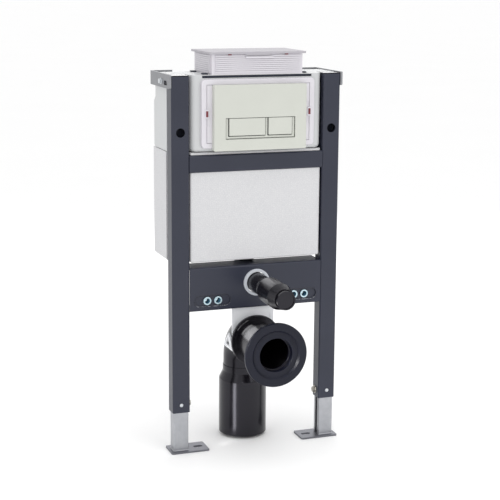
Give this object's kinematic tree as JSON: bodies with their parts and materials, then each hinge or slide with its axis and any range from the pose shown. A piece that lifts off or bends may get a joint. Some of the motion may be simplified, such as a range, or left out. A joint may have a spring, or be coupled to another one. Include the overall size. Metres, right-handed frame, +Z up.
{
  "type": "wall hung toilet frame",
  "caption": "Low steel frame for a wall hung toilet, with telescopic feet, foam-jacketed cistern, dual flush plate, top access box, flush pipe and waste bend.",
  "frame": {"origin": "on the rear face of the left wall bracket's flange, where the frame is fastened to the wall, at the bolts' height", "axes": "+X across the frame to the viewer's right, +Y into the wall, +Z up"},
  "size_m": [0.4, 0.336, 0.8905],
  "materials": {
    "frame_paint": "powder coat, dark grey, fine texture",
    "zinc": "zinc plated sheet",
    "tank_plastic": "moulded, off white",
    "foam": "expanded bead foam, white",
    "bezel_plastic": "moulded, white",
    "plate_finish": "satin, pale grey",
    "pipe_black": "pipe black, semi gloss",
    "seal_rubber": "moulded rubber, black",
    "holder_white": "moulded, white",
    "ring_grey": "moulded, light grey"
  },
  "bodies": {
    "frame": {"left_upright": "frame_paint", "right_upright": "frame_paint", "upper_crossbar": "frame_paint", "lower_crossbar": "frame_paint", "left_pan_bolt_strip": "frame_paint", "right_pan_bolt_strip": "frame_paint", "left_inner_pan_socket": "zinc", "left_outer_pan_socket": "zinc", "right_inner_pan_socket": "zinc", "right_outer_pan_socket": "zinc", "left_wall_bracket": "zinc", "right_wall_bracket": "zinc", "cistern_tank": "tank_plastic", "jacket_front": "foam", "jacket_rear": "foam", "access_bezel": "bezel_plastic", "access_box": "bezel_plastic", "access_box_lid": "bezel_plastic", "flush_plate": "plate_finish", "flush_pipe": "pipe_black", "flush_pipe_collar": "pipe_black", "flush_pipe_cap": "pipe_black", "waste_bend": "pipe_black", "waste_reducer": "pipe_black", "waste_socket_ring": "pipe_black", "pan_connector": "pipe_black", "pan_seal": "seal_rubber", "waste_holder": "holder_white", "flush_pipe_ring": "ring_grey"},
    "left_foot": {"left_foot_leg": "zinc", "left_foot_plate": "zinc"},
    "right_foot": {"right_foot_leg": "zinc", "right_foot_plate": "zinc"},
    "full_button": {"full_flush_button": "plate_finish"},
    "half_button": {"half_flush_button": "plate_finish"}
  },
  "joints": [
    {"name": "left_foot_slide", "type": "slide", "parent": "frame", "child": "left_foot", "axis": [0, 0, -1], "range_m": [-0.08, 0.115]},
    {"name": "right_foot_slide", "type": "slide", "parent": "frame", "child": "right_foot", "axis": [0, 0, -1], "range_m": [-0.08, 0.115]},
    {"name": "full_flush_press", "type": "slide", "parent": "frame", "child": "full_button", "axis": [0, 1, 0], "range_m": [0, 0.003], "stiffness_N_per_m": 800},
    {"name": "half_flush_press", "type": "slide", "parent": "frame", "child": "half_button", "axis": [0, 1, 0], "range_m": [0, 0.003], "stiffness_N_per_m": 800}
  ]
}
